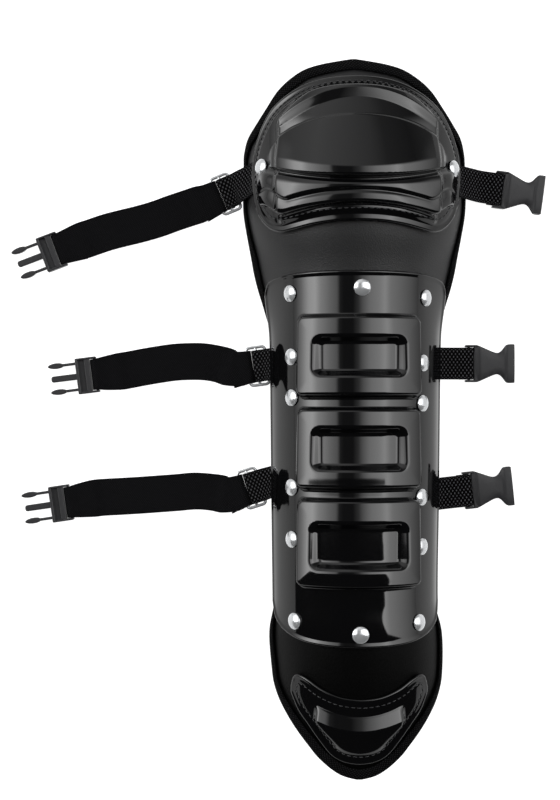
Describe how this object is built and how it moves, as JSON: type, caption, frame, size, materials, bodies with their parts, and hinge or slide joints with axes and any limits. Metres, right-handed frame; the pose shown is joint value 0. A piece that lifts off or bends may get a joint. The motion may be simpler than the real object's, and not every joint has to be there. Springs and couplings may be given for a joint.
{
  "type": "catcher leg guard",
  "caption": "Black catcher leg guard lying on its back, with a gloss knee cap, a ribbed shin shell, an ankle cap, and elastic straps with side release buckles, undone.",
  "frame": {"origin": "on the floor under the middle of the whole guard with its straps laid out", "axes": "+Y up the leg to the knee, +Z out of the front of the leg, +X to the side of the socket buckles"},
  "size_m": [0.4096, 0.5388, 0.083],
  "materials": {
    "pad_lining": "black knitted lining over foam, matt",
    "panel_leather": "black leather-like cloth with a fine grain, low sheen",
    "binding_tape": "black woven tape, matt",
    "gloss_shell": "black moulded plastic, high gloss",
    "rivet_chrome": "bright plated steel",
    "slider_chrome": "bright plated wire",
    "webbing": "black coarse woven webbing, matt",
    "elastic": "black fine woven elastic, matt",
    "buckle_plastic": "dark grey acetal, satin"
  },
  "bodies": {
    "root": {"ankle_cap_shell": "gloss_shell", "backing_pad": "pad_lining", "edge_binding": "binding_tape", "elastic_strap_lower": "elastic", "elastic_strap_middle": "elastic", "elastic_strap_upper": "elastic", "female_buckle_lower": "buckle_plastic", "female_buckle_middle": "buckle_plastic", "female_buckle_upper": "buckle_plastic", "front_panel": "panel_leather", "knee_cap_shell": "gloss_shell", "male_buckle_lower": "buckle_plastic", "male_buckle_middle": "buckle_plastic", "male_buckle_upper": "buckle_plastic", "rivet_knee_left": "rivet_chrome", "rivet_knee_right": "rivet_chrome", "rivet_shin_bottom_left": "rivet_chrome", "rivet_shin_bottom_middle": "rivet_chrome", "rivet_shin_bottom_right": "rivet_chrome", "rivet_shin_lower_left": "rivet_chrome", "rivet_shin_lower_right": "rivet_chrome", "rivet_shin_second_left": "rivet_chrome", "rivet_shin_second_right": "rivet_chrome", "rivet_shin_third_left": "rivet_chrome", "rivet_shin_third_right": "rivet_chrome", "rivet_shin_top_left": "rivet_chrome", "rivet_shin_top_middle": "rivet_chrome", "rivet_shin_top_right": "rivet_chrome", "rivet_shin_upper_left": "rivet_chrome", "rivet_shin_upper_right": "rivet_chrome", "shin_shell": "gloss_shell", "webbing_tab_left_lower": "webbing", "webbing_tab_left_middle": "webbing", "webbing_tab_left_upper": "webbing", "webbing_tab_right_lower": "webbing", "webbing_tab_right_middle": "webbing", "webbing_tab_right_upper": "webbing", "wire_slider_lower": "slider_chrome", "wire_slider_middle": "slider_chrome", "wire_slider_upper": "slider_chrome"}
  },
  "joints": []
}
